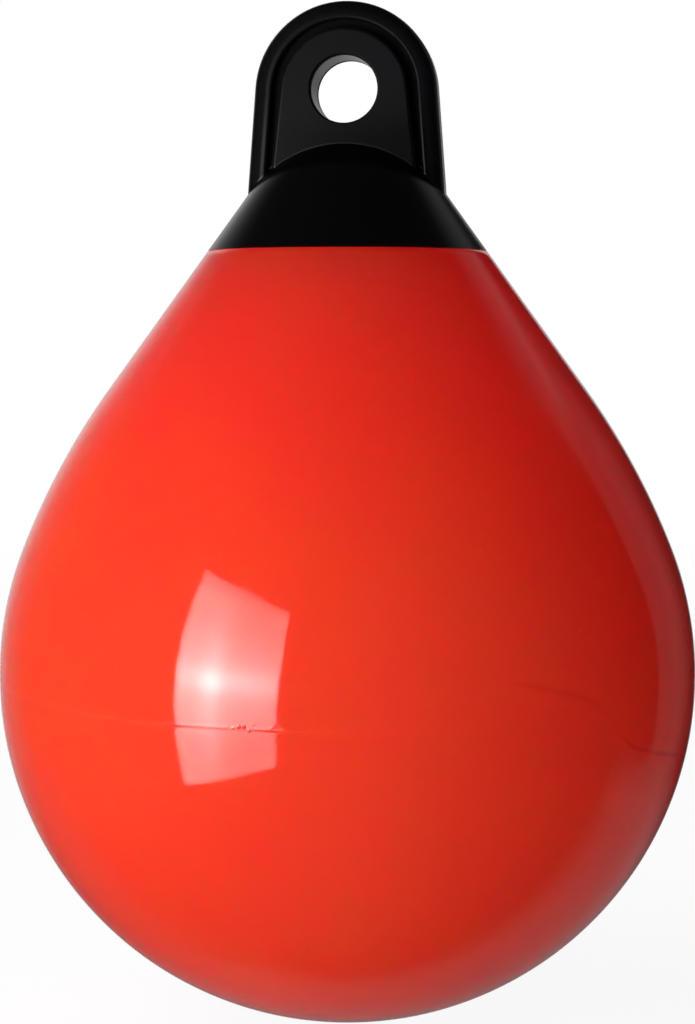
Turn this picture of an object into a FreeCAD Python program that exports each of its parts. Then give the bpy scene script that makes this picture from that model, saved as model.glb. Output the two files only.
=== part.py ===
import FreeCAD, Part
import math
import os

# Small inflatable round buoy: a hollow vinyl float and a moulded cap that carries a rope eye.
# +Z is up along the buoy's axis and +Y runs along the bore of the eye. The model is worked out
# with z = 0 at the belly's widest ring, then lowered so that the origin lies at the eye's centre.

# --- Driving dimensions: millimetres and degrees ---------------------------------------------

# Float: a spherical belly, a wider shoulder arc, then a straight cone up to the neck.
BELLY_RADIUS = 100.0
SHOULDER_LATITUDE = 21.4    # where the sphere hands over to the shoulder arc
SHOULDER_RADIUS = 205.0
CONE_HALF_ANGLE = 35.9
NECK_RADIUS = 39.8          # outside, where the skin ends and the cap begins
SKIN_WALL = 2.8
SEAM_HEIGHT = 0.3           # mould seam round the widest ring
SEAM_WIDTH = 1.2

# Cap: goes on from the float's cone and ends in a round nose.
NOSE_RADIUS = 34.0
CAP_WALL = 6.0
SPIGOT_LENGTH = 10.0        # how far the cap reaches down inside the neck
BOND_GAP = 0.2              # between the spigot and the inside of the skin

# Lug: an arch that stands on the nose, with the rope eye through it. Each face has a panel
# round the eye, a groove round the panel and a rim outside the groove.
EYE_RADIUS = 9.5
EYE_RISE = 14.0             # from the nose's crown to the eye's centre
EYE_EDGE_ROUND = 0.5
ARCH_DROP = 1.0             # the arch's centre lies this far below the eye's
SIDE_LEAN = 4.3             # of the lug's sides, outwards going down
PANEL_RADIUS = 18.1
PANEL_LEAN = 2.0            # how much more the panel's sides lean
PANEL_RISE = 1.5            # how far the panel stands proud of the rim
PANEL_EDGE_ROUND = 1.0
GROOVE_WIDTH = 2.4
GROOVE_DEPTH = 2.5          # below the rim's crest
GROOVE_ROUND = 0.5
RIM_WIDTH = 5.4
RIM_THICKNESS = 17.0
RIM_CREST_WIDTH = 0.2       # what its two rounded edges leave flat
RIM_INNER_ROUND = 0.7
ROOT_DEPTH = 22.0           # from the nose's crown down to the lug's hidden root
FOOT_ROUND = 0.3            # where the lug stands on the nose

# Air valve, square to the cone on the rear side of the cap.
BOSS_RADIUS = 9.0
BOSS_MARGIN = 1.7           # up the cone from the cap's edge to the boss
BOSS_HEIGHT = 1.2
BOSS_EDGE_ROUND = 0.5
FLANGE_RADIUS = 7.5
FLANGE_THICKNESS = 1.6
FLANGE_RECESS = 1.0         # how deep the flange is let into the boss
BUSH_RADIUS = 5.5
BUSH_PAST_WALL = 2.0        # how far the bush stands out inside the cap
SHANK_RADIUS = 3.5
SHANK_LENGTH = 8.0
HEAD_RADIUS = 5.5
HEAD_HEIGHT = 2.2
HEAD_EDGE_ROUND = 0.6
SLOT_WIDTH = 1.4
SLOT_DEPTH = 1.1
WASHER_RADIUS = 5.0
WASHER_THICKNESS = 0.8
VALVE_FIT = 0.15            # clearance all round each valve piece in its hole

TOUCH = 1e-4                # two shapes nearer than this are taken to touch

X_AXIS = FreeCAD.Vector(1, 0, 0)
Y_AXIS = FreeCAD.Vector(0, 1, 0)
Z_AXIS = FreeCAD.Vector(0, 0, 1)
CENTRE = FreeCAD.Vector(0, 0, 0)
POLE = math.radians(90)


# --- Outlines, as half sections in the XZ plane ------------------------------------------------

def polar(centre, radius, latitude):
    """Point on a circle of the half section, its latitude in radians up from level."""
    return centre + FreeCAD.Vector(radius * math.cos(latitude), 0, radius * math.sin(latitude))


def arc(centre, radius, start, end):
    """Arc of the half section between two latitudes."""
    middle = polar(centre, radius, (start + end) / 2)
    return Part.Arc(polar(centre, radius, start), middle, polar(centre, radius, end)).toShape()


def line(start, end):
    """Straight edge between two points."""
    return Part.LineSegment(start, end).toShape()


def turned(edges):
    """Solid made by turning a closed half section about the buoy's axis."""
    return Part.Face(Part.Wire(edges)).revolve(CENTRE, Z_AXIS, 360)


latitude = math.radians(SHOULDER_LATITUDE)
slope = math.radians(CONE_HALF_ANGLE)

# The shoulder arc shares its tangent with the sphere at one end and with the cone at the other.
shoulder_centre = polar(CENTRE, BELLY_RADIUS - SHOULDER_RADIUS, latitude)
shoulder_top = polar(shoulder_centre, SHOULDER_RADIUS, slope)
neck_level = shoulder_top.z + (shoulder_top.x - NECK_RADIUS) / math.tan(slope)
# The nose's sphere touches the same cone all round.
nose_level = neck_level + (NECK_RADIUS - NOSE_RADIUS / math.cos(slope)) / math.tan(slope)
nose_centre = FreeCAD.Vector(0, 0, nose_level)
crown_level = nose_level + NOSE_RADIUS
root_level = crown_level - ROOT_DEPTH
eye_level = crown_level + EYE_RISE


def cone_point(level, depth):
    """Point at a level on the cone, or on the surface that lies parallel to it, depth inside."""
    radius = NECK_RADIUS - (level - neck_level) * math.tan(slope) - depth / math.cos(slope)
    return FreeCAD.Vector(radius, 0, level)


def float_body():
    """Hollow skin of one wall, with the mould seam as a low round ridge on its belly."""
    seam_latitude = math.asin(SEAM_WIDTH / 2 / BELLY_RADIUS)
    seam_low = polar(CENTRE, BELLY_RADIUS, -seam_latitude)
    seam_high = polar(CENTRE, BELLY_RADIUS, seam_latitude)
    seam_crest = FreeCAD.Vector(BELLY_RADIUS + SEAM_HEIGHT, 0, 0)
    inner_belly = BELLY_RADIUS - SKIN_WALL
    inner_shoulder = SHOULDER_RADIUS - SKIN_WALL
    neck_outside = cone_point(neck_level, 0)
    neck_inside = cone_point(neck_level, SKIN_WALL)
    return turned([
        arc(CENTRE, BELLY_RADIUS, -POLE, -seam_latitude),
        Part.Arc(seam_low, seam_crest, seam_high).toShape(),
        arc(CENTRE, BELLY_RADIUS, seam_latitude, latitude),
        arc(shoulder_centre, SHOULDER_RADIUS, latitude, slope),
        line(shoulder_top, neck_outside),
        line(neck_outside, neck_inside),
        line(neck_inside, polar(shoulder_centre, inner_shoulder, slope)),
        arc(shoulder_centre, inner_shoulder, slope, latitude),
        arc(CENTRE, inner_belly, latitude, -POLE),
        line(polar(CENTRE, inner_belly, -POLE), polar(CENTRE, BELLY_RADIUS, -POLE)),
    ])


# --- Cap ---------------------------------------------------------------------------------------

def nose_solid():
    """The cap filled solid: nose, cone and spigot."""
    crown = polar(nose_centre, NOSE_RADIUS, POLE)
    nose_foot = polar(nose_centre, NOSE_RADIUS, slope)
    skirt_edge = cone_point(neck_level, 0)
    spigot_top = cone_point(neck_level, SKIN_WALL + BOND_GAP)
    spigot_end = cone_point(neck_level - SPIGOT_LENGTH, SKIN_WALL + BOND_GAP)
    axis_foot = FreeCAD.Vector(0, 0, spigot_end.z)
    return turned([
        arc(nose_centre, NOSE_RADIUS, POLE, slope),
        line(nose_foot, skirt_edge),
        line(skirt_edge, spigot_top),
        line(spigot_top, spigot_end),
        line(spigot_end, axis_foot),
        line(axis_foot, crown),
    ])


def nose_cavity():
    """The hollow under the cap, one cap wall inside its outer surface."""
    inner_nose = NOSE_RADIUS - CAP_WALL
    inner_crown = polar(nose_centre, inner_nose, POLE)
    inner_foot = polar(nose_centre, inner_nose, slope)
    mouth = cone_point(neck_level - SPIGOT_LENGTH, CAP_WALL)
    axis_foot = FreeCAD.Vector(0, 0, mouth.z)
    return turned([
        arc(nose_centre, inner_nose, POLE, slope),
        line(inner_foot, mouth),
        line(mouth, axis_foot),
        line(axis_foot, inner_crown),
    ])


# --- Lug ---------------------------------------------------------------------------------------

pocket_radius = PANEL_RADIUS + GROOVE_WIDTH
arch_radius = pocket_radius + RIM_WIDTH
rim_outer_round = RIM_WIDTH - RIM_CREST_WIDTH - RIM_INNER_ROUND
panel_lean = SIDE_LEAN + PANEL_LEAN
panel_thickness = RIM_THICKNESS + 2 * PANEL_RISE
web_thickness = RIM_THICKNESS - 2 * GROOVE_DEPTH


def lies_on(edge, shape):
    """True where an edge's ends and middle all lie on a shape."""
    middle = edge.valueAt((edge.FirstParameter + edge.LastParameter) / 2)
    points = [vertex.Point for vertex in edge.Vertexes] + [middle]
    return all(shape.distToShape(Part.Vertex(point))[0] < TOUCH for point in points)


def rounded(solid, rounding, outlines):
    """Round those edges of a solid that lie on any of some outlines."""
    chosen = [edge for edge in solid.Edges if any(lies_on(edge, outline) for outline in outlines)]
    return solid.makeFillet(rounding, chosen)


def arch_line(radius, lean_angle, depth):
    """Open outline of an arch, at a depth along the eye: a round top and two leaning sides."""
    lean = math.radians(lean_angle)
    centre = FreeCAD.Vector(0, depth, eye_level - ARCH_DROP)
    shoulder = polar(centre, radius, lean)
    foot_x = shoulder.x + (shoulder.z - root_level) * math.tan(lean)
    foot = FreeCAD.Vector(foot_x, depth, root_level)
    far_shoulder = FreeCAD.Vector(-shoulder.x, depth, shoulder.z)
    far_foot = FreeCAD.Vector(-foot.x, depth, foot.z)
    top = Part.Arc(shoulder, polar(centre, radius, POLE), far_shoulder).toShape()
    return Part.Wire([line(foot, shoulder), top, line(far_shoulder, far_foot)])


def both_faces(radius, lean_angle, thickness):
    """The arch's outline on each face of a slab."""
    return [arch_line(radius, lean_angle, side * thickness / 2) for side in (-1, 1)]


def arch_slab(radius, lean_angle, thickness):
    """Slab that fills an arch, centred on the eye's mid plane."""
    arch = arch_line(radius, lean_angle, -thickness / 2)
    foot = line(arch.OrderedVertexes[-1].Point, arch.OrderedVertexes[0].Point)
    return Part.Face(Part.Wire(arch.OrderedEdges + [foot])).extrude(Y_AXIS * thickness)


def eye_rim(side):
    """Circle where the eye meets one face of the lug."""
    centre = FreeCAD.Vector(0, side * panel_thickness / 2, eye_level)
    return Part.Circle(centre, Y_AXIS, EYE_RADIUS).toShape()


def lug():
    """Arched lug: a rounded rim, and on each face a groove round a raised panel, with the eye."""
    blank = arch_slab(arch_radius, SIDE_LEAN, RIM_THICKNESS)
    blank = rounded(blank, rim_outer_round, both_faces(arch_radius, SIDE_LEAN, RIM_THICKNESS))
    pocket = arch_slab(pocket_radius, SIDE_LEAN, RIM_THICKNESS)
    web = arch_slab(pocket_radius, SIDE_LEAN, web_thickness)
    panel = arch_slab(PANEL_RADIUS, panel_lean, panel_thickness)
    eye_foot = FreeCAD.Vector(0, -panel_thickness / 2, eye_level)
    eye = Part.makeCylinder(EYE_RADIUS, panel_thickness, eye_foot, Y_AXIS)

    whole = blank.cut(pocket).fuse([web, panel]).cut(eye).removeSplitter()
    whole = rounded(whole, EYE_EDGE_ROUND, [eye_rim(-1), eye_rim(1)])
    whole = rounded(whole, PANEL_EDGE_ROUND, both_faces(PANEL_RADIUS, panel_lean, panel_thickness))
    whole = rounded(whole, RIM_INNER_ROUND, both_faces(pocket_radius, SIDE_LEAN, RIM_THICKNESS))
    whole = rounded(whole, GROOVE_ROUND, both_faces(PANEL_RADIUS, panel_lean, web_thickness))
    return rounded(whole, GROOVE_ROUND, both_faces(pocket_radius, SIDE_LEAN, web_thickness))


# --- Valve, modelled upright on a level cap and then tilted into place ---------------------------

flange_seat = BOSS_HEIGHT - FLANGE_RECESS
flange_top = flange_seat + FLANGE_THICKNESS
head_foot = flange_top + WASHER_THICKNESS
head_top = head_foot + HEAD_HEIGHT
bush_end = -CAP_WALL - BUSH_PAST_WALL


def disc(radius, low, high):
    """Round disc or rod on the valve's axis, between two heights over the cap's surface."""
    return Part.makeCylinder(radius, high - low, Z_AXIS * low)


def ring_line(radius, height):
    """Circle about the valve's axis."""
    return Part.Circle(Z_AXIS * height, Z_AXIS, radius).toShape()


def on_cap(solid):
    """Tilt a valve piece square to the cone and carry it to its place on the rear side."""
    placed = solid.copy()
    placed.rotate(CENTRE, X_AXIS, CONE_HALF_ANGLE - 90)
    up_the_cone = BOSS_MARGIN + BOSS_RADIUS
    distance_out = NECK_RADIUS - up_the_cone * math.sin(slope)
    placed.translate(FreeCAD.Vector(0, distance_out, neck_level + up_the_cone * math.cos(slope)))
    return placed


def valve_boss():
    """Low round pad on the cap with a rounded edge."""
    boss = disc(BOSS_RADIUS, -CAP_WALL / 2, BOSS_HEIGHT)
    return rounded(boss, BOSS_EDGE_ROUND, [ring_line(BOSS_RADIUS, BOSS_HEIGHT)])


def valve_hole():
    """Stepped hole through the cap's wall and boss, for the flanged bush."""
    narrow = disc(BUSH_RADIUS + VALVE_FIT, bush_end, BOSS_HEIGHT)
    wide = disc(FLANGE_RADIUS + VALVE_FIT, flange_seat, flange_top)
    return narrow.fuse(wide)


def valve_seat():
    """Flanged bush: the flange lies in the boss and the bush goes through the cap's wall."""
    flange = disc(FLANGE_RADIUS, flange_seat, flange_top)
    bush = disc(BUSH_RADIUS, bush_end, flange_seat)
    bore = disc(SHANK_RADIUS + VALVE_FIT, bush_end, flange_top)
    return flange.fuse(bush).cut(bore)


def valve_washer():
    """Flat ring between the flange and the plug's head."""
    hole = disc(SHANK_RADIUS + VALVE_FIT, flange_top, head_foot)
    return disc(WASHER_RADIUS, flange_top, head_foot).cut(hole)


def valve_plug():
    """Plug with a plain shank and a round head, slotted for a coin or a screwdriver."""
    head = disc(HEAD_RADIUS, head_foot, head_top)
    head = rounded(head, HEAD_EDGE_ROUND, [ring_line(HEAD_RADIUS, head_top)])
    shank = disc(SHANK_RADIUS, head_foot - SHANK_LENGTH, head_foot)
    slot_corner = FreeCAD.Vector(-HEAD_RADIUS, -SLOT_WIDTH / 2, head_top - SLOT_DEPTH)
    slot = Part.makeBox(2 * HEAD_RADIUS, SLOT_WIDTH, SLOT_DEPTH, slot_corner)
    return head.fuse(shank).cut(slot)


def eye_cap():
    """The moulded cap in one piece: nose, lug and valve boss, hollow below."""
    nose = nose_solid()
    arch = lug()
    body = rounded_foot(nose, arch)
    body = body.fuse(on_cap(valve_boss()))
    return body.cut([nose_cavity(), on_cap(valve_hole())]).removeSplitter()


def rounded_foot(nose, arch):
    """Join the lug to the nose and round the crease where their surfaces meet."""
    body = nose.fuse(arch).removeSplitter()
    crease = [edge for edge in body.Edges
              if lies_on(edge, nose.Shells[0]) and lies_on(edge, arch.Shells[0])]
    return body.makeFillet(FOOT_ROUND, crease)


# --- Export --------------------------------------------------------------------------------------

PIECES = {
    "float_body": float_body(),
    "eye_cap": eye_cap(),
    "valve_seat": on_cap(valve_seat()),
    "valve_washer": on_cap(valve_washer()),
    "valve_plug": on_cap(valve_plug()),
}

os.makedirs("parts", exist_ok=True)
for name, piece in PIECES.items():
    piece.translate(Z_AXIS * -eye_level)
    box = piece.optimalBoundingBox()
    print(f"{name}: {len(piece.Solids)} solid, valid {piece.isValid()}, "
          f"{piece.Volume / 1000:.2f} cm3, z {box.ZMin:.2f} to {box.ZMax:.2f}")
    piece.exportStep(f"parts/{name}.step")
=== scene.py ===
# %% [markdown]
# # An inflatable round buoy
#
# The real thing is a drop shaped bag of soft orange red vinyl, blown up hard. Its neck is
# fused to a stiff black cap that ends in a thick lug, with a round eye for the mooring rope.
# A small air valve sits on the cap's far shoulder.
#
# The engineering model of the same buoy is loaded first, and its shapes are never changed.
# The new skin, its marks and the floor are placed from the boxes of its pieces, in metres.

# %% Load the engineering model
import math

import bpy
import numpy as np
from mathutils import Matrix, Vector


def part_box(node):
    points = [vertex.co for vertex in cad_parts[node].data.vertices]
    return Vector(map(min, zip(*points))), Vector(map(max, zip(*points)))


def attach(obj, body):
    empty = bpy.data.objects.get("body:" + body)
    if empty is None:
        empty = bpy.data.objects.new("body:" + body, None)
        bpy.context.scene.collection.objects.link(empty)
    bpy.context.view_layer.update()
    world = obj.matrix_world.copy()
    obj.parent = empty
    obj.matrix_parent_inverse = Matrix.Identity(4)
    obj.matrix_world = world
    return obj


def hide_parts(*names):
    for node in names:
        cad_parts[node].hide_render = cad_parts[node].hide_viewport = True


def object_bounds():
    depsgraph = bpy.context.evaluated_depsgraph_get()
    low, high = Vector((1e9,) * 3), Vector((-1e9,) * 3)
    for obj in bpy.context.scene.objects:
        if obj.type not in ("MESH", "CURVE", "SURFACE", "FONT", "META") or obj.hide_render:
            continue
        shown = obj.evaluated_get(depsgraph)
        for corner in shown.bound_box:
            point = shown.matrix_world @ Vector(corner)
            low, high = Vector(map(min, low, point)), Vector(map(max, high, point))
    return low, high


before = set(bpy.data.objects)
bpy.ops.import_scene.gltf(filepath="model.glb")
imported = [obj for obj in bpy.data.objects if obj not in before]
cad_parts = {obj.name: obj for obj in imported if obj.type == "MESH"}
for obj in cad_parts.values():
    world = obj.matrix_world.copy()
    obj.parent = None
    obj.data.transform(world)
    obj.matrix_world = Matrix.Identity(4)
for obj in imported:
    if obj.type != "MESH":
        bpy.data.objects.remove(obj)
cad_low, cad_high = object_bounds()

MM = 0.001

# %% Measure where the bag and the cap are
skin_low, skin_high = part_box("float_body")
SEAM_HEIGHT = 0.3 * MM
belly_radius = skin_high[0] - SEAM_HEIGHT
equator = skin_low[2] + belly_radius
neck = skin_high[2]
print(f"belly radius {belly_radius:.4f} m, widest at z {equator:.4f}, neck at z {neck:.4f}")

# %% [markdown]
# ## Where the viewer stands
#
# A round glossy thing changes its picture with every step of the viewer, because its
# highlights slide over it. So the camera comes first. It stands two thirds of a metre away,
# a little above the widest ring and a little to the right of the eye's axis, which shows
# the inside of the eye on its left.

# %% Camera
CAMERA_DISTANCE = 661 * MM
CAMERA_SIDE = math.radians(6.5)
CAMERA_RISE = 103 * MM
CAMERA_TILT = math.radians(4.91)
CAMERA_LENS = 80.7

scene = bpy.context.scene
camera = bpy.data.objects.new("camera", bpy.data.cameras.new("camera"))
camera.data.lens = CAMERA_LENS
camera.location = (
    CAMERA_DISTANCE * math.sin(CAMERA_SIDE),
    -CAMERA_DISTANCE * math.cos(CAMERA_SIDE),
    equator + CAMERA_RISE,
)
camera.rotation_euler = (math.pi / 2 - CAMERA_TILT, 0, CAMERA_SIDE)
scene.collection.objects.link(camera)
scene.camera = camera
scene.view_settings.view_transform = "Standard"
print("camera at", [round(v, 4) for v in camera.location])

# %% [markdown]
# ## Surfaces from arrays
#
# Every new piece is a grid of points that a formula gives as one array. This helper turns
# such a grid into a closed mesh: rows run from the lowest ring to the highest, each row goes
# once round, and one point at either end closes the pole. Listing each face's corners
# against the clock, seen from outside, makes every face point outwards.

# %% From a grid of rings to a closed mesh
def faces_of_rings(rows, around):
    """Corner numbers of the squares between rings, and of the fans at both poles.

    A square joins ring i and ring i + 1 at steps j and j + 1 round the ring. The two pole
    points are numbered after all the rings' points.
    """
    i, j = np.meshgrid(np.arange(rows - 1), np.arange(around), indexing="ij")
    k = (j + 1) % around
    low, high = i * around, (i + 1) * around
    squares = np.stack([low + j, low + k, high + k, high + j], axis=-1).reshape(-1, 4)
    step = np.arange(around)
    following = (step + 1) % around
    bottom, top = rows * around, rows * around + 1
    last = (rows - 1) * around
    under = np.stack([np.full(around, bottom), following, step], axis=-1)
    over = np.stack([np.full(around, top), last + step, last + following], axis=-1)
    return squares, under, over


def closed_piece(name, rings, bottom, top):
    """A smooth mesh from an array of rings (rows, around, 3) and its two pole points."""
    rows, around, _ = rings.shape
    points = np.concatenate([rings.reshape(-1, 3), [bottom], [top]])
    squares, under, over = faces_of_rings(rows, around)
    mesh = bpy.data.meshes.new(name)
    mesh.from_pydata(points.tolist(), [], squares.tolist() + under.tolist() + over.tolist())
    mesh.polygons.foreach_set("use_smooth", np.ones(len(mesh.polygons), dtype=bool))
    mesh.update()
    piece = bpy.data.objects.new(name, mesh)
    scene.collection.objects.link(piece)
    print(f"{name}: {len(points)} points, {2 * len(squares) + 2 * around} triangles")
    return piece


# %% [markdown]
# ## The bag's outline
#
# The bag is cast from liquid vinyl in a hollow form of two halves and then blown up, and
# pressure makes simple curves: a ball below, a wide arc over the shoulder, and a straight
# cone up to the neck.
# The outline is written as a function of the way walked along the skin from the lowest
# point. Each stretch starts where the one before it ends and leans the same way there, so
# no crease shows in the gloss.

# %% The outline as a function of the way along it
SHOULDER_LATITUDE = math.radians(21.4)
SHOULDER_RADIUS = 205 * MM
CONE_LATITUDE = math.radians(35.9)

shoulder_start = belly_radius * (math.pi / 2 + SHOULDER_LATITUDE)
cone_start = shoulder_start + SHOULDER_RADIUS * (CONE_LATITUDE - SHOULDER_LATITUDE)
arc_shift = SHOULDER_RADIUS - belly_radius
arc_r = -arc_shift * math.cos(SHOULDER_LATITUDE)
arc_z = equator - arc_shift * math.sin(SHOULDER_LATITUDE)
cone_z = arc_z + SHOULDER_RADIUS * math.sin(CONE_LATITUDE)
widest_way = belly_radius * math.pi / 2
neck_way = cone_start + (neck - cone_z) / math.cos(CONE_LATITUDE)


def outline(way):
    """Radius, height and lean of the skin after walking `way` metres from the lowest point.

    On the ball the lean grows by way / belly_radius, on the shoulder by way /
    SHOULDER_RADIUS, and on the cone it stays. Lean is the angle of the outward direction
    above the horizon. A point on an arc is its centre plus the radius along the lean.
    """
    on_ball = way < shoulder_start
    ball = way / belly_radius - math.pi / 2
    shoulder = SHOULDER_LATITUDE + (way - shoulder_start) / SHOULDER_RADIUS
    lean = np.where(on_ball, ball, np.minimum(shoulder, CONE_LATITUDE))
    along_cone = np.maximum(way - cone_start, 0)
    radius = np.where(
        on_ball, belly_radius * np.cos(lean), arc_r + SHOULDER_RADIUS * np.cos(lean)
    )
    height = np.where(
        on_ball, equator + belly_radius * np.sin(lean), arc_z + SHOULDER_RADIUS * np.sin(lean)
    )
    radius = radius - along_cone * math.sin(CONE_LATITUDE)
    height = height + along_cone * math.cos(CONE_LATITUDE)
    return radius, height, lean


neck_radius = float(outline(np.array([neck_way]))[0][0])
print(f"the skin is {neck_way:.4f} m long from pole to neck, where its radius is {neck_radius:.4f}")

# %% [markdown]
# ## The skin
#
# The surface of revolution alone looks like glass. A real blown bag has slow waves of a few
# hundredths of a millimetre, which make the edges of a highlight wander, and a parting line
# round its widest ring, where the two halves of the form met. The line is a low rounded
# ridge that wanders and changes height, with the lower half set back a little. The rings
# lie closer together there, so that the ridge is real geometry.

# %% Slow waves over the whole skin
RIPPLE_DEPTH = 0.05 * MM
RIPPLE_WAVES = 14
rng = np.random.default_rng(7)
wave_lengths = rng.uniform(28, 75, RIPPLE_WAVES) * MM
wave_headings = rng.normal(size=(RIPPLE_WAVES, 3))
wave_headings /= np.linalg.norm(wave_headings, axis=1, keepdims=True)
wave_vectors = wave_headings * (2 * math.pi / wave_lengths)[:, None]
wave_phases = rng.uniform(0, 2 * math.pi, RIPPLE_WAVES)


def ripple(points):
    """Slow waves: the mean of plane sine waves in several headings, from -1 to 0."""
    total = np.sin(points @ wave_vectors.T + wave_phases).mean(axis=-1)
    return np.clip(total * 1.5, -1, 1) / 2 - 0.5


print(f"{RIPPLE_WAVES} waves, {wave_lengths.min() / MM:.0f} to {wave_lengths.max() / MM:.0f} mm long")

# %% The parting line, and the skin as the sum of it all
RIDGE_SHARE = 0.45
SEAM_WIDTH = 0.58 * MM
SEAM_BELOW = 0.75
SEAM_STEP = 0.09 * MM
SEAM_STEP_FADE = 9 * MM
SEAM_REACH = 2.6 * MM
SEAM_WANDER = ((3, 0.22 * MM, 0.8), (11, 0.10 * MM, 2.0))
SEAM_SWELLS = ((5, 0.22, 1.1), (23, 0.14, 0.4))
SEAM_STRENGTH = 0.62
FLASH_TURN = -1.80
FLASH_LEAST = 0.06
FLASH_POWER = 10
NECK_CALM = 8 * MM


def waves_round(turn, waves):
    """The sum of size * sin(count * turn + phase) over the waves (count, size, phase)."""
    return sum(size * np.sin(count * turn + phase) for count, size, phase in waves)


def seam_relief(beyond, turn):
    """The parting line: a bell shaped ridge, and a smooth step down below it.

    `beyond` is the way past the widest ring and `turn` the angle round the axis. The ridge
    falls off from its wandering centre as exp(-(distance / width)^2), a little faster below.
    Round the belly its strength goes as (0.5 + 0.5 cos)^FLASH_POWER of the angle from
    FLASH_TURN, where the two halves of the form closed worst and most vinyl came out.
    """
    wander = waves_round(turn, SEAM_WANDER)
    flash = (0.5 + 0.5 * np.cos(turn - FLASH_TURN)) ** FLASH_POWER
    strength = RIDGE_SHARE * (SEAM_STRENGTH + waves_round(turn, SEAM_SWELLS))
    strength = strength * (FLASH_LEAST + (1 - FLASH_LEAST) * flash)
    width = np.where(beyond > wander, SEAM_WIDTH, SEAM_BELOW * SEAM_WIDTH)
    distance = (beyond - wander) / width
    ridge = SEAM_HEIGHT * strength * np.exp(-(distance**2))
    lower_half = 0.5 - 0.5 * np.tanh(distance)
    fade = np.exp(-np.clip(-beyond, 0, None) / SEAM_STEP_FADE)
    return ridge - SEAM_STEP * lower_half * fade * (0.5 + strength)


def skin_points(way, turn):
    """Rings of the skin: the outline turned round the axis and moved by its relief."""
    radius, height, lean = (v[:, None] for v in outline(way))
    turn = turn[None, :]
    outward = np.stack(
        [np.cos(lean) * np.cos(turn), np.cos(lean) * np.sin(turn), np.sin(lean) + 0 * turn],
        axis=-1,
    )
    smooth = np.stack(
        [radius * np.cos(turn), radius * np.sin(turn), height + 0 * turn], axis=-1
    )
    beyond = way[:, None] - widest_way
    calm = np.clip((neck_way - way[:, None]) / NECK_CALM, 0, 1)
    relief = RIPPLE_DEPTH * ripple(smooth) * calm + seam_relief(beyond, turn)
    return smooth + relief[..., None] * outward


band = np.linspace(-SEAM_REACH, SEAM_REACH, 200)[:, None]
relief = seam_relief(band, np.linspace(0, 2 * math.pi, 360)) / MM
print(f"the parting line's relief goes from {relief.min():.2f} to {relief.max():.2f} mm")

# %% Lay the skin's rings and close it under the cap
SKIN_AROUND = 460
SKIN_ROWS = 158
SEAM_ROWS = 40
POLE_GAP = 0.9 * MM
NECK_ROUND = 0.35 * MM
LIP_RINGS = 5
LIP_STARTS = 0.15
even = np.linspace(POLE_GAP, neck_way - NECK_ROUND, SKIN_ROWS)
near_seam = widest_way + np.linspace(-SEAM_REACH, SEAM_REACH, SEAM_ROWS)
away = np.abs(even - widest_way) > SEAM_REACH
ways = np.sort(np.concatenate([even[away], near_seam]))
turns = np.linspace(0, 2 * math.pi, SKIN_AROUND, endpoint=False)
skin_rings = skin_points(ways, turns)

roll = np.linspace(LIP_STARTS, 1, LIP_RINGS) * math.pi / 2
circle = np.stack([np.cos(turns), np.sin(turns)], axis=-1)
lip_radius = neck_radius + NECK_ROUND * (np.cos(roll) - 1)
lip_height = neck + NECK_ROUND * (np.sin(roll) - 1)
lip = np.concatenate(
    [
        lip_radius[:, None, None] * circle[None],
        np.broadcast_to(lip_height[:, None, None], (LIP_RINGS, SKIN_AROUND, 1)),
    ],
    axis=-1,
)
skin = closed_piece(
    "buoy_skin",
    np.concatenate([skin_rings, lip]),
    (0, 0, float(skin_low[2]) + RIPPLE_DEPTH),
    (0, 0, neck),
)
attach(skin, "root")
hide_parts("float_body")

# %% [markdown]
# ## Shader sums written as Python
#
# A finish is a graph of nodes, and most of a graph is arithmetic. The class below holds one
# output of a node, so that `1 - mask` or `low + span * grain` adds the Math nodes that say
# the same. Any other node is added by one method, `node`.

# %% A wire and a graph
class Wire:
    """One output of a node, with which sums and products can be written."""

    def __init__(self, graph, socket):
        self.graph = graph
        self.socket = socket

    def maths(self, operation, first, second=0.0):
        """One Math node, by the name of its operation."""
        return self.graph.node("ShaderNodeMath", {"operation": operation}, {0: first, 1: second})

    def __add__(self, other):
        return self.maths("ADD", self, other)

    def __radd__(self, other):
        return self.maths("ADD", other, self)

    def __sub__(self, other):
        return self.maths("SUBTRACT", self, other)

    def __rsub__(self, other):
        return self.maths("SUBTRACT", other, self)

    def __mul__(self, other):
        return self.maths("MULTIPLY", self, other)

    def __rmul__(self, other):
        return self.maths("MULTIPLY", other, self)

    def __truediv__(self, other):
        return self.maths("DIVIDE", self, other)

    def __pow__(self, other):
        return self.maths("POWER", self, other)


class Graph:
    """The nodes of a material, a lamp or the world."""

    def __init__(self, owner):
        owner.use_nodes = True
        self.tree = owner.node_tree
        self.tree.nodes.clear()

    def node(self, kind, settings=None, sockets=None, out=0):
        """Adds a node: its settings first, then the values or wires of its sockets."""
        made = self.tree.nodes.new(kind)
        for name, value in (settings or {}).items():
            setattr(made, name, value)
        for key, value in (sockets or {}).items():
            if isinstance(value, Wire):
                self.tree.links.new(value.socket, made.inputs[key])
            else:
                made.inputs[key].default_value = value
        return Wire(self, made.outputs[out]) if len(made.outputs) else made


# %% Parts that most graphs share
def place(graph):
    """The point on the piece, in metres: its Object coordinates."""
    return graph.node("ShaderNodeTexCoord", out="Object")


def axes(graph, vector):
    """The three coordinates of a vector, as three wires."""
    split = graph.node("ShaderNodeSeparateXYZ", sockets={0: vector})
    return [Wire(graph, socket) for socket in split.socket.node.outputs]


def noise(graph, where, scale, detail=2.0, rough=0.5):
    """Cloudy noise from about 0.3 to 0.7, with `scale` blobs to a metre."""
    sockets = {"Vector": where, "Scale": scale, "Detail": detail, "Roughness": rough}
    return graph.node("ShaderNodeTexNoise", sockets=sockets)


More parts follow.
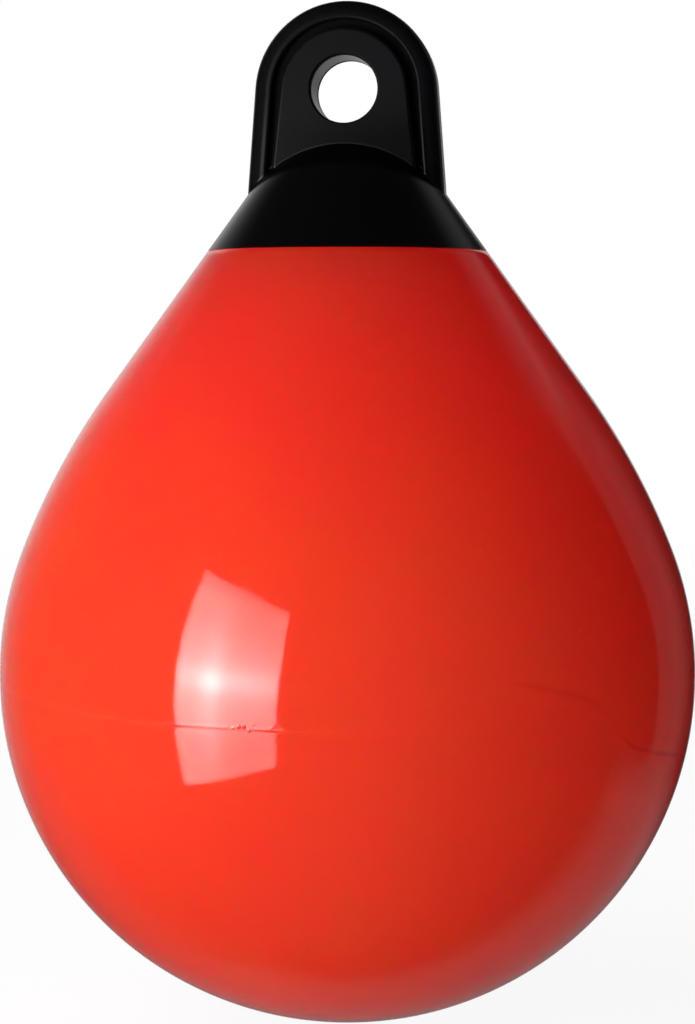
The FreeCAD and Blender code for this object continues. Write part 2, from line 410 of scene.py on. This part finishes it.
def ease(graph, value, low, high, to_low=0.0, to_high=1.0):
    """Goes smoothly from to_low to to_high while value goes from low to high."""
    sockets = {"Value": value, 1: low, 2: high, 3: to_low, 4: to_high}
    return graph.node("ShaderNodeMapRange", {"interpolation_type": "SMOOTHSTEP"}, sockets)


def between(graph, value, start, full, fading, end):
    """1 while value is between full and fading, and 0 before start and after end."""
    return ease(graph, value, start, full) * ease(graph, value, end, fading)


def bell(wire, middle, width):
    """A bell shaped bump: exp(-((wire - middle) / width)^2), 1 at its middle."""
    distance = (wire - middle) / width
    return distance.maths("EXPONENT", -1 * distance * distance)


def heading(right, ahead):
    """The angle round the upright axis in degrees, from straight ahead towards the right."""
    return right.maths("ARCTAN2", right, ahead) * (180 / math.pi)


def blend(graph, share, first, second):
    """A colour between two colours."""
    sockets = {0: share, 6: first, 7: second}
    return graph.node("ShaderNodeMix", {"data_type": "RGBA"}, sockets, out=2)


def bump(graph, height, distance, strength=1.0, below=None):
    """A bump of `distance` metres for a height from 0 to 1, on top of another bump."""
    sockets = {"Height": height, "Distance": distance, "Strength": strength}
    if below is not None:
        sockets["Normal"] = below
    return graph.node("ShaderNodeBump", sockets=sockets)


def finish_of(name, lay):
    """A material: `lay` gets its graph and returns the shader for the surface."""
    material = bpy.data.materials.new(name)
    graph = Graph(material)
    graph.node("ShaderNodeOutputMaterial", sockets={0: lay(graph)})
    return material


# %% [markdown]
# ## Marks on the vinyl
#
# A moulded skin that has been doubled over in its box carries fine marks: a crease that
# never quite flattens, a few pimples from air in the form, and nibs of spilled vinyl on the
# parting line. They are finer than any sensible mesh, so each one is a mask, a value that
# is 1 on the mark and 0 elsewhere. The finish further down turns the masks into relief, and
# paints shade into the colour: the crease and the nibs are darkened towards a deeper red.

# %% A slanting crease
CREASE_MIDDLE = 50.0
CREASE_FALL = 2.5 * MM
CREASE_SLOPE = 0.36 * MM
CREASE_DROP = 6.5 * MM
CREASE_BEND = 5.0
CREASE_WANDER = 1.6 * MM
CREASE_WIDTH = 0.75 * MM
CREASE_FAINT = 0.30


def crease(graph, where, right, back, height):
    """1 along a fine crease that slants down across the parting line, else 0.

    Its height falls evenly with the turn round the axis, and faster halfway, where it
    crosses the line: CREASE_SLOPE * turn + CREASE_DROP * tanh(turn / CREASE_BEND). The
    turn is in degrees from the crease's middle.
    """
    turn = heading(right, -1 * back) - CREASE_MIDDLE
    bend = turn.maths("TANH", turn / CREASE_BEND)
    wander = CREASE_WANDER * (noise(graph, where, 130, 2) - 0.5)
    line = equator - CREASE_FALL - CREASE_SLOPE * turn - CREASE_DROP * bend + wander
    faint = CREASE_FAINT * between(graph, turn, -20, -14, -5, 1)
    deep = between(graph, turn, 1, 8, 22, 27)
    uneven = ease(graph, noise(graph, where, 90, 1), 0.40, 0.56, 0.6, 1.0)
    return bell(height - line, 0, CREASE_WIDTH) * (faint + deep) * uneven


print(f"the crease is {2 * CREASE_WIDTH / MM:.1f} mm wide, {CREASE_MIDDLE} degrees to the right")


# %% Pimples, and nibs on the parting line
PIMPLE_SPACING = 25 * MM
PIMPLE_RADIUS = 1.2 * MM
NIB_SPACING = 1.4 * MM
NIB_RADIUS = 0.7 * MM
NIBS_ABOVE = 0.5 * MM
NIBS_SPREAD = 0.9 * MM
NIBS_AT = -13 * MM
NIBS_REACH = 5 * MM
FRONT_DEPTH = -20 * MM


def dots(graph, where, spacing, radius):
    """Small round dots: 1 where the nearest of many scattered points is close, else 0.

    The points are scattered in space, about `spacing` apart. Only the few that happen to
    lie near the skin show on it, so the dots are rare and their sizes differ.
    """
    sockets = {"Vector": where, "Scale": 1 / spacing}
    nearest = graph.node("ShaderNodeTexVoronoi", sockets=sockets, out="Distance")
    return ease(graph, nearest * spacing, radius, 0)


def nibs_on_seam(graph, where, right, back, height):
    """Dots that lie close together, kept to a short stretch of the parting line in front."""
    nibs = dots(graph, where, NIB_SPACING, NIB_RADIUS)
    nibs = nibs * bell(height - equator, NIBS_ABOVE, NIBS_SPREAD)
    return nibs * bell(right, NIBS_AT, NIBS_REACH) * ease(graph, back, 0, FRONT_DEPTH)


print(f"pimples up to {2 * PIMPLE_RADIUS / MM} mm across, nibs up to {2 * NIB_RADIUS / MM} mm")

# %% The parting line's own colour
SEAM_EDGES = (0.2 * MM, 1.0 * MM)
SEAM_FADES = (-40 * MM, 60 * MM, 1.0, 0.1)


def seam_mask(graph, right, height, grit):
    """1 on the parting line, broken up by the grit and fainter towards the right."""
    off_seam = height.maths("ABSOLUTE", height - equator)
    line = 1 - ease(graph, off_seam, *SEAM_EDGES)
    return line * ease(graph, grit, 0.35, 0.6) * ease(graph, right, *SEAM_FADES)


print(f"the parting line's colour is {2 * SEAM_EDGES[1] / MM} mm wide")

# %% [markdown]
# ## Orange red vinyl
#
# The skin is soft vinyl, coloured all through and glossy from the form. Light goes some way
# into it and into the hollow behind it, and red comes back from farthest, so the side away
# from the lamp turns from orange to deep red. Subsurface scattering with a long way for red
# and short ones for green and blue does that. The colour also drifts in slow clouds and
# turns redder where the skin is thicker, near the neck. Handling leaves faint rub marks in
# the gloss, which a noise in the roughness stands for.

# %% The vinyl's colours
VINYL_ORANGE = (0.76, 0.043, 0.0130, 1.0)
VINYL_RED = (0.78, 0.0130, 0.0105, 1.0)
VINYL_PALE = (0.85, 0.14, 0.08, 1.0)
# painted shade: the deeper red that the crease and the nibs are darkened towards
VINYL_PAINTED_SHADE = (0.45, 0.008, 0.006, 1.0)
THICKER_FROM = equator + 20 * MM
THICKEST_AT = neck + 10 * MM
THICK_SHARE = 0.75
CLOUD_SHARE = 0.20
SEAM_SHARE = 0.06
SPECK_SHARE = 0.25
# how much painted shade the crease and the nibs get
CREASE_SHADE_SHARE = 0.80
NIB_SHADE_SHARE = 0.50


def vinyl_colour(graph, where, height, seam, crease_and_shade, nibs):
    """Orange to red with height and clouds, paler on seam and specks, painted shade on crease and
    nibs.
    """
    clouds = ease(graph, noise(graph, where, 16, 3), 0.35, 0.65)
    thick = ease(graph, height, THICKER_FROM, THICKEST_AT)
    redder = THICK_SHARE * thick + CLOUD_SHARE * clouds
    colour = blend(graph, redder, VINYL_ORANGE, VINYL_RED)
    colour = blend(graph, seam * SEAM_SHARE, colour, VINYL_PALE)
    specks = ease(graph, noise(graph, where, 420, 1), 0.79, 0.85)
    colour = blend(graph, specks * SPECK_SHARE, colour, VINYL_PALE)
    # painted shade: the crease and the nibs darkened in the colour
    return blend(graph, crease_and_shade * CREASE_SHADE_SHARE + nibs * NIB_SHADE_SHARE, colour, VINYL_PAINTED_SHADE)


print("orange", VINYL_ORANGE[:3], "turns to red", VINYL_RED[:3])

# %% The vinyl's relief
WAVE_DEPTH = 0.02 * MM
GRIT_DEPTH = 0.004 * MM
FOLD_DEPTH = 0.05 * MM
DOT_HEIGHT = 0.10 * MM
PIMPLE_SHARE = 0.4
NIB_SHARE = 2.2


def vinyl_relief(graph, where, grit, crease_and_shade, pimples, nibs):
    """Bumps laid on each other: slow waves, grit, the crease as a groove, and the dots."""
    relief = bump(graph, noise(graph, where, 170, 1), WAVE_DEPTH)
    relief = bump(graph, grit, GRIT_DEPTH, below=relief)
    relief = bump(graph, 1 - crease_and_shade, FOLD_DEPTH, below=relief)
    return bump(graph, pimples * PIMPLE_SHARE + nibs * NIB_SHARE, DOT_HEIGHT, below=relief)


print(f"nibs up to {NIB_SHARE * DOT_HEIGHT / MM:.2f} mm high, the crease {FOLD_DEPTH / MM} mm deep")

# %% The vinyl's graph
LIGHT_WAY = 650 * MM
LIGHT_SHARES = (1.0, 0.005, 0.19)
SKIN_ROUGHNESS = 0.050
RUB_ROUGHNESS = 0.045
SEAM_ROUGHNESS = 0.12


def vinyl(graph):
    """Red goes LIGHT_WAY into the vinyl, green and blue their LIGHT_SHARES of that way."""
    where = place(graph)
    right, back, height = axes(graph, where)
    grit = noise(graph, where, 900, 4, 0.6)
    seam = seam_mask(graph, right, height, grit)
    # the crease's mask makes both its groove and its painted shade
    crease_and_shade = crease(graph, where, right, back, height)
    pimples = dots(graph, where, PIMPLE_SPACING, PIMPLE_RADIUS)
    nibs = nibs_on_seam(graph, where, right, back, height)
    rubbed = ease(graph, noise(graph, where, 55, 5, 0.6), 0.45, 0.72)
    sockets = {
        "Base Color": vinyl_colour(graph, where, height, seam, crease_and_shade, nibs),
        "Roughness": SKIN_ROUGHNESS + RUB_ROUGHNESS * rubbed + SEAM_ROUGHNESS * seam,
        "IOR": 1.6,
        "Subsurface Weight": 1.0,
        "Subsurface Radius": LIGHT_SHARES,
        "Subsurface Scale": LIGHT_WAY,
        "Normal": vinyl_relief(graph, where, grit, crease_and_shade, pimples, nibs),
    }
    return graph.node("ShaderNodeBsdfPrincipled", {"subsurface_method": "RANDOM_WALK"}, sockets)


red_vinyl = finish_of("red_vinyl", vinyl)
skin.data.materials.append(red_vinyl)
print("red vinyl on", skin.name)

# %% [markdown]
# ## Black vinyl of the cap
#
# The cap is cast in a form of its own, and its finish is that of the form: polished on the
# nose and round the outside of the lug, and finely grained on the lug's two faces and in the
# groove round the panel. The grained places look paler, because they scatter the light. The
# cap is one CAD piece, so its places are found by measure: how far a point lies beyond the
# round nose, how high it is, and how far from the eye's middle plane. Two shaders are mixed
# by that mask, and both have faint scuffs from handling.

# %% Where the cap is grained
NOSE_RADIUS = 34 * MM
EYE_RISE = 14 * MM
LUG_STARTS = (NOSE_RADIUS + 0.1 * MM, NOSE_RADIUS + 0.7 * MM)
LUG_ABOVE = (-29 * MM, -25 * MM)
FACE_BEYOND = (6.3 * MM, 7.5 * MM)
GROOVE_RING = (12 * MM, 14 * MM, 22.8 * MM, 24 * MM)


def cap_masks(graph, where):
    """Masks for the lug and its grained places, with the height and the way off the middle.

    The groove follows the eye's round top and runs straight down below it, so its distance
    is measured from the eye where it is above the eye's middle, and sideways below that.
    """
    across, depth, height = axes(graph, where)
    nose_centre = (0, 0, -EYE_RISE - NOSE_RADIUS)
    measure = {"operation": "DISTANCE"}
    beyond = graph.node("ShaderNodeVectorMath", measure, {0: where, 1: nose_centre}, out="Value")
    lug = ease(graph, beyond, *LUG_STARTS) * ease(graph, height, *LUG_ABOVE)
    off_middle = depth.maths("ABSOLUTE", depth)
    face = lug * ease(graph, off_middle, *FACE_BEYOND)
    above = height.maths("MAXIMUM", height)
    from_eye = (across * across + above * above) ** 0.5
    groove = lug * (1 - face) * between(graph, from_eye, *GROOVE_RING)
    return lug, face + groove, height, off_middle


print(f"grained more than {FACE_BEYOND[1] / MM} mm off the eye's middle plane")

# %% The cap's graph
CAP_BLACK = (0.0006, 0.0006, 0.0006, 1.0)
FACE_BLACK = (0.0012, 0.0014, 0.0026, 1.0)
RIM_CREST = 8.5 * MM
PANEL_FACE = 10 * MM
FACE_SPREAD = 0.12 * MM
LOWER_LUG = (2 * MM, -16 * MM)
POLISHED_ROUGHNESS = 0.20
GRAINED_ROUGHNESS = 0.80
FLAT_GLOSS = 0.37
LOWER_GLOSS = 0.18


def cast_black(graph):
    """Polished vinyl, and grained vinyl where the mask is 1.

    The grained part is matt on its slopes and glossier on the rim's crest and the panel's
    face, and most so low on them.
    """
    where = place(graph)
    lug, grained_part, height, off_middle = cap_masks(graph, where)
    mottle = noise(graph, where, 60, 4, 0.55)
    scuffs = ease(graph, noise(graph, where, 210, 5, 0.65), 0.60, 0.78)
    grain = noise(graph, where, 1500, 2)
    polished = {
        "Base Color": CAP_BLACK,
        "Roughness": POLISHED_ROUGHNESS + 0.06 * lug + 0.05 * scuffs + 0.03 * mottle,
        "IOR": 1.55,
        "Normal": bump(graph, grain, 0.002 * MM, strength=0.4),
    }
    flat = bell(off_middle, RIM_CREST, FACE_SPREAD) + bell(off_middle, PANEL_FACE, FACE_SPREAD)
    glossier = flat * (FLAT_GLOSS + LOWER_GLOSS * ease(graph, height, *LOWER_LUG))
    grained = {
        "Base Color": blend(graph, ease(graph, mottle, 0.3, 0.7), CAP_BLACK, FACE_BLACK),
        "Roughness": GRAINED_ROUGHNESS - glossier + 0.06 * scuffs,
        "IOR": 1.24,
        "Normal": bump(graph, grain, 0.004 * MM, strength=0.7),
    }
    smooth_side = graph.node("ShaderNodeBsdfPrincipled", sockets=polished)
    rough_side = graph.node("ShaderNodeBsdfPrincipled", sockets=grained)
    mixed = {0: grained_part, 1: smooth_side, 2: rough_side}
    return graph.node("ShaderNodeMixShader", sockets=mixed)


black_vinyl = finish_of("black_vinyl", cast_black)
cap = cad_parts["eye_cap"]
cap.data.materials.clear()
cap.data.materials.append(black_vinyl)
print("black vinyl on", cap.name)

# %% [markdown]
# ## The valve
#
# The valve's bush and its slotted plug are moulded in a harder black plastic with a satin
# skin, and the washer between them is matt rubber. Coins wear the plug's head and dust
# settles on the rubber, and a worn or dusty place is both paler and duller. So one noise
# cloud moves the colour and the roughness of each together.

# %% The valve's finishes
PLASTIC_DARK = (0.010, 0.010, 0.011, 1.0)
PLASTIC_WORN = (0.022, 0.022, 0.024, 1.0)
RUBBER_DARK = (0.018, 0.018, 0.018, 1.0)
RUBBER_DUSTY = (0.034, 0.033, 0.032, 1.0)


def satin_plastic(graph):
    """Black plastic, from satin where it is new to duller where the cloud says it is worn."""
    where = place(graph)
    cloud = noise(graph, where, 240, 4, 0.6)
    colour = blend(graph, cloud, PLASTIC_DARK, PLASTIC_WORN)
    roughness = 0.30 + 0.25 * ease(graph, cloud, 0.35, 0.65)
    relief = bump(graph, noise(graph, where, 2400, 1), 0.006 * MM)
    sockets = {"Base Color": colour, "Roughness": roughness, "Normal": relief}
    return graph.node("ShaderNodeBsdfPrincipled", sockets=sockets)


def matt_rubber(graph):
    """Black rubber, paler and a little rougher where the cloud says it is dusty."""
    where = place(graph)
    cloud = noise(graph, where, 500, 3)
    colour = blend(graph, cloud, RUBBER_DARK, RUBBER_DUSTY)
    relief = bump(graph, noise(graph, where, 3200, 1), 0.02 * MM)
    sockets = {"Base Color": colour, "Roughness": 0.7 + 0.15 * cloud, "Normal": relief}
    return graph.node("ShaderNodeBsdfPrincipled", sockets=sockets)


valve_plastic = finish_of("valve_plastic", satin_plastic)
washer_rubber = finish_of("washer_rubber", matt_rubber)
for node_name, finish in (
    ("valve_seat", valve_plastic),
    ("valve_plug", valve_plastic),
    ("valve_washer", washer_rubber),
):
    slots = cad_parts[node_name].data.materials
    slots.clear()
    slots.append(finish)
    print(node_name, "has", finish.name)

# %% [markdown]
# ## A pale floor
#
# The buoy stands on a plain pale floor. Seen straight, most of the floor's brightness is its
# own, so that it reads as white and still keeps a soft shadow. Further out it fades into the
# white of the room, and no horizon shows. The gloss doesn't mirror it, because the cloths of
# the next step stand in for it there.

# %% Floor
FLOOR_REACH = 6.0
FLOOR_THICKNESS = 0.02
FLOOR_AROUND = 96
FLOOR_RINGS = 12
FLOOR_GLOW = 0.93
FLOOR_FADES = (0.35, 1.6)
PALE = (0.8, 0.8, 0.8, 1.0)


def seen_straight(graph):
    """1 for rays from the camera, off a glossy surface or through glass, else 0."""
    path = graph.node("ShaderNodeLightPath").socket.node
    straight, glossy, through = (
        Wire(graph, path.outputs[name])
        for name in ("Is Camera Ray", "Is Glossy Ray", "Is Transmission Ray")
    )
    return straight.maths("MAXIMUM", straight.maths("MAXIMUM", straight, glossy), through)


def pale_floor(graph):
    """Matt white to the light, and mostly its own glow to rays that see it straight."""
    where = place(graph)
    away = graph.node("ShaderNodeVectorMath", {"operation": "LENGTH"}, {0: where}, out="Value")
    own = seen_straight(graph) * ease(graph, away, *FLOOR_FADES, FLOOR_GLOW, 1.0)
    matt = graph.node("ShaderNodeBsdfDiffuse", sockets={"Color": PALE})
    glow = graph.node("ShaderNodeEmission", sockets={"Strength": 1.0})
    return graph.node("ShaderNodeMixShader", sockets={0: own, 1: matt, 2: glow})


def round_plate(radii, level, circle):
    """Flat rings of points at one level: each radius times the unit circle."""
    ring = radii[:, None, None] * circle
    return np.concatenate([ring, np.full(ring.shape[:2] + (1,), level)], axis=-1)


floor_turns = np.linspace(0, 2 * math.pi, FLOOR_AROUND, endpoint=False)
floor_circle = np.stack([np.cos(floor_turns), np.sin(floor_turns)], axis=-1)[None]
floor_level = float(cad_low[2])
floor_under = floor_level - FLOOR_THICKNESS
floor_radii = np.linspace(0.02, 1, FLOOR_RINGS) * FLOOR_REACH
upper = round_plate(floor_radii, floor_level, floor_circle)
lower = round_plate(floor_radii, floor_under, floor_circle)
floor = closed_piece(
    "floor",
    np.concatenate([lower, upper[::-1]]),
    (0, 0, floor_under),
    (0, 0, floor_level),
)
floor.data.materials.append(finish_of("pale_floor", pale_floor))
floor.visible_glossy = False
floor.visible_shadow = False

# %% [markdown]
# ## Dark cloths round the gloss
#
# A glossy ball mirrors the whole room, and in a white room its colour washes out. A
# photographer hangs dark cloths round it, out of the picture. Here they are one large dome
# that only reflections see: nearly black overhead, dim grey in front, and paler at the sides
# behind the buoy, where a glancing view mirrors them along the outline.

# %% How bright the dome is in each direction
LEFT_CLOTH = (-64, -44, -20, 10)
BACK_CLOTH = (-48, -22, 9, 13)
RIGHT_CLOTH = (22, 42, 54, 57)
HIGH_CLOTHS = (0.36, 0.46, 0.56, 0.72)
LEAST_GREY = 0.02
FRONT_GREY = 0.03
LEFT_GREY = 0.16
BACK_GREY = 0.50
RIGHT_GREY = 0.09
UNDER_GREY = 0.19
HIGH_LEFT_GREY = 0.07
HIGH_RIGHT_GREY = 0.14


def dim_room(graph):
    """Brightness by direction: each cloth's grey times a mask of where the cloth hangs.

    `turn` is in degrees from straight behind to the right. `right`, `back` and `up` are the
    parts of the direction, each from -1 to 1.
    """
    where = graph.node("ShaderNodeVectorMath", {"operation": "NORMALIZE"}, {0: place(graph)})
    right, back, up = axes(graph, where)
    turn = heading(right, back)
    below = ease(graph, up, -0.30, -0.50)
    level = 1 - ease(graph, up, 0.35, 0.60)
    front = FRONT_GREY * ease(graph, back, 0.2, -0.7) * level
    left_side = LEFT_GREY * between(graph, turn, *LEFT_CLOTH) * level
    behind = BACK_GREY * between(graph, turn, *BACK_CLOTH)
    behind = behind * ease(graph, up, -0.40, 0.0, 0.25, 1.0) * level
    right_side = RIGHT_GREY * between(graph, turn, *RIGHT_CLOTH) * level
    under = UNDER_GREY * below * ease(graph, back, 0.1, 0.4)
    under = under * ease(graph, right, -0.5, -0.2, 0.4, 1)
    high = between(graph, up, *HIGH_CLOTHS) * ease(graph, back, 0.3, 0.6)
    high_left = HIGH_LEFT_GREY * high * ease(graph, right, -0.2, -0.4)
    high_right = HIGH_RIGHT_GREY * high * bell(right, 0.50, 0.24)
    strength = LEAST_GREY + front + (left_side + behind + right_side) * (1 - below) + under
    strength = strength + high_left + high_right
    return graph.node("ShaderNodeEmission", sockets={"Strength": strength})


# %% The dome that only reflections see
DOME_RADIUS = 3.0
DOME_RINGS = 24
dome_lean = np.radians(np.linspace(-88, 88, DOME_RINGS))[:, None, None]
dome_rings = np.concatenate(
    [
        DOME_RADIUS * np.cos(dome_lean) * floor_circle,
        np.broadcast_to(DOME_RADIUS * np.sin(dome_lean), (DOME_RINGS, FLOOR_AROUND, 1)),
    ],
    axis=-1,
)
dome = closed_piece("dark_cloths", dome_rings, (0, 0, -DOME_RADIUS), (0, 0, DOME_RADIUS))
dome.data.materials.append(finish_of("dark_cloths", dim_room))
dome.visible_camera = False
dome.visible_diffuse = False
dome.visible_transmission = False
dome.visible_shadow = False
dome.visible_volume_scatter = False

# %% [markdown]
# ## The room's own light
#
# The room fills the shadows with a little even light. To the camera, in mirrors and through
# glass it is plain white.

# %% World
FILL = 0.02
world = bpy.data.worlds.new("room")
scene.world = world
room = Graph(world)
fill = room.node("ShaderNodeBackground", sockets={"Strength": FILL})
white = room.node("ShaderNodeBackground", sockets={0: (1, 1, 1, 1), "Strength": 1.0})
shown = room.node("ShaderNodeMixShader", sockets={0: seen_straight(room), 1: fill, 2: white})
room.node("ShaderNodeOutputWorld", sockets={0: shown})
print(f"the room lights every shadow with {FILL} and shows as white")

# %% [markdown]
# ## The softbox
#
# One tall softbox stands close on the left, turned towards the buoy's middle, and the skin
# mirrors it as a bright window. Its cloth is not evenly bright: a hot spot marks the flash
# tube, and paler streaks run up and across from it.

# %% The softbox as a lamp
KEY_CENTRE = (-260 * MM, -526 * MM, equator + 29 * MM)
KEY_FACING = (0.8205, 0.5635, -0.101)
KEY_WIDTH = 359 * MM
KEY_HEIGHT = 563 * MM
KEY_RADIANCE = 1.0


def aim(facing):
    """The turn that points a lamp's -Z along `facing` and keeps its Y upright."""
    return Vector(facing).to_track_quat("-Z", "Y").to_euler()


def area_light(name, centre, facing, width, height, radiance):
    """A rectangular lamp of even radiance, whose watts are radiance * pi * area."""
    lamp = bpy.data.lights.new(name, "AREA")
    lamp.shape = "RECTANGLE"
    lamp.size = width
    lamp.size_y = height
    lamp.energy = radiance * math.pi * width * height
    light = bpy.data.objects.new(name, lamp)
    light.location = centre
    light.rotation_euler = aim(facing)
    light.visible_camera = False
    scene.collection.objects.link(light)
    print(f"{name}: {lamp.energy:.2f} W")
    return light


key = area_light("softbox", KEY_CENTRE, KEY_FACING, KEY_WIDTH, KEY_HEIGHT, KEY_RADIANCE)

# %% Its cloth, brightest at the tube
TUBE_ACROSS = 0.298
TUBE_UP = 0.516
CLOTH_GLOW = 3.3
TUBE_GLOW = 4.2
COLUMN_GLOW = 2.9
THIN_BEAM_GLOW = 3.4
WIDE_BEAM_GLOW = 3.1


def softbox_cloth(graph):
    """Brightness over the cloth: `across` and `up` go from 0 to 1, `side` and `rise` are mm.

    A base, brighter to one side and dimmer at the top and the bottom, plus bells round the
    tube: a round hot spot, a tall column through it, and a thin and a wide beam across it.
    All of it dims at the cloth's rim.
    """
    across, up, _ = axes(graph, graph.node("ShaderNodeTexCoord", out="UV"))
    side = (across - TUBE_ACROSS) * (KEY_WIDTH / MM)
    rise = (up - TUBE_UP) * (KEY_HEIGHT / MM)
    tube = TUBE_GLOW * bell(side, 0, 36) * bell(rise, 0, 26)
    column = COLUMN_GLOW * bell(side, 0, 36) * bell(rise, -20, 150)
    beams = THIN_BEAM_GLOW * bell(rise, 5, 36) + WIDE_BEAM_GLOW * bell(rise, 0, 118)
    beams = bell(side, 22, 260) * beams
    base = CLOTH_GLOW + 1.2 * ease(graph, across, 0.65, 0.10)
    base = base - 0.6 * ease(graph, up, 0.60, 0.85) - 0.7 * ease(graph, up, 0.30, 0.25)
    rim = ease(graph, across, 0.0, 0.05, 0.6, 1.0) * ease(graph, across, 1.0, 0.96, 0.8, 1.0)
    rim = rim * ease(graph, up, 1.0, 0.90, 0.6, 1.0) * ease(graph, up, 0.0, 0.04, 0.7, 1.0)
    glow = rim * (base + tube + column + beams)
    return graph.node("ShaderNodeEmission", sockets={"Strength": glow})


cloth = Graph(key.data)
cloth.node("ShaderNodeOutputLight", sockets={0: softbox_cloth(cloth)})
print("the cloth has", len(cloth.tree.nodes), "nodes")

# %% [markdown]
# ## Wide lamps that leave no mark
#
# One softbox alone would light only the left front. Daylight from the same side fills the
# rest: four wide soft lamps stand at the left, above it, behind it and overhead. They light
# the vinyl but are kept out of reflections, so the gloss still shows one clean window.

# %% Four wide lamps, each with its centre, direction, side and radiance
WIDE_LAMPS = (
    ("upper_left", (-0.9, -0.5, 0.9), (0.65, 0.35, -0.75), 0.9, 3.6),
    ("left", (-1.08, -0.22, equator + 0.1), (1, 0.2, 0), 1.0, 1.6),
    ("far_left", (-0.95, 0.35, 0.75), (0.8, -0.3, -0.75), 0.9, 2.0),
    ("overhead", (-0.5, -0.1, 1.2), (0.35, 0.05, -1), 0.9, 2.5),
)
for name, centre, facing, size, radiance in WIDE_LAMPS:
    area_light(name, centre, facing, size, size, radiance).visible_glossy = False

# %% [markdown]
# ## The engineering model's size
#
# The dressed buoy must keep the engineering model's size, so the engineering model's box is printed.

# %% The engineering model's box
print("CAD box", [round(v, 5) for v in (*cad_low, *cad_high)])
